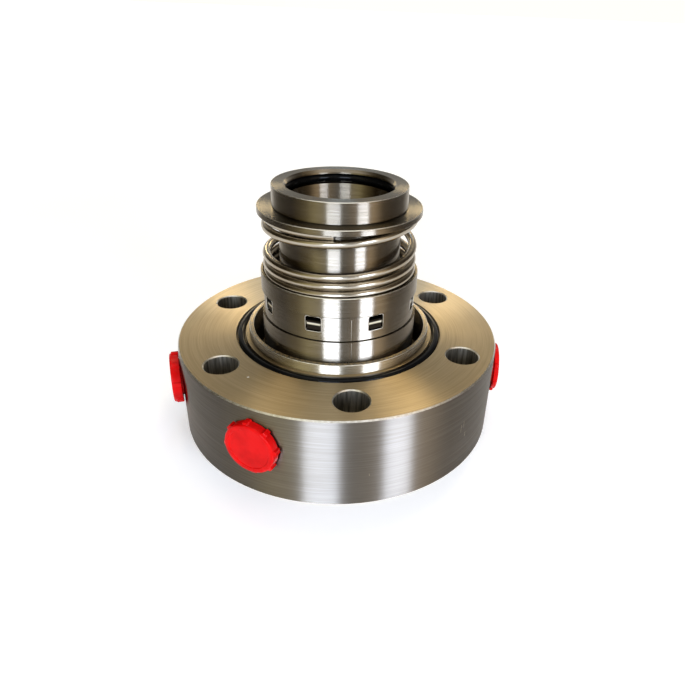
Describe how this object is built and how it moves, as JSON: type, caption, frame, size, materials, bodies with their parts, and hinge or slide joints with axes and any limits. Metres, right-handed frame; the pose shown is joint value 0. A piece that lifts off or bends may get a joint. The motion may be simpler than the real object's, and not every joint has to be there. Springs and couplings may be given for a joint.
{
  "type": "cartridge mechanical seal",
  "caption": "Cartridge mechanical seal with a thick bolted gland plate, red port plugs and a spring-loaded rotating head on a shaft sleeve.",
  "frame": {"origin": "on the shaft axis, in the joint face of the gland plate", "axes": "+Z along the shaft, out of the gland towards the spring and the nose of the sleeve; -Y through the front bolt hole"},
  "size_m": [0.1933, 0.183, 0.1373],
  "materials": {
    "turned_steel": "turned, satin",
    "bright_steel": "ground, bright",
    "spring_steel": "drawn wire, satin",
    "black_rubber": "smooth, oiled",
    "red_plastic": "moulded, glossy",
    "carbon": "lapped carbon",
    "silicon_carbide": "lapped ceramic",
    "white_ptfe": "matt"
  },
  "bodies": {
    "gland": {"gland_plate": "turned_steel", "gland_o_ring": "black_rubber", "stationary_seat": "silicon_carbide", "seat_o_ring": "black_rubber", "seat_pins": "bright_steel", "throttle_bushing": "carbon", "bushing_snap_ring": "spring_steel", "port_plug_flush": "red_plastic", "port_plug_vent": "red_plastic", "port_plug_drain": "red_plastic"},
    "seal_head": {"retainer_shell": "turned_steel", "thrust_ring": "bright_steel", "spring_seat": "bright_steel", "spring": "spring_steel", "face_ring": "turned_steel", "carbon_insert": "carbon", "dynamic_o_ring": "black_rubber", "backup_ring": "white_ptfe", "shell_snap_ring": "spring_steel"},
    "sleeve_body": {"sleeve": "turned_steel", "sleeve_o_ring": "black_rubber", "drive_collar": "turned_steel", "clamp_cone": "bright_steel", "collar_screws": "bright_steel"}
  },
  "joints": [
    {"name": "head_spin", "type": "hinge", "parent": "gland", "child": "seal_head", "pos_m": [0, 0, 0], "axis": [0, 0, 1], "continuous": true},
    {"name": "sleeve_slide", "type": "slide", "parent": "seal_head", "child": "sleeve_body", "axis": [0, 0, 1], "range_m": [-0.004, 0], "stiffness_N_per_m": 2200, "springref_m": 0.03, "deforming": ["spring"]}
  ]
}
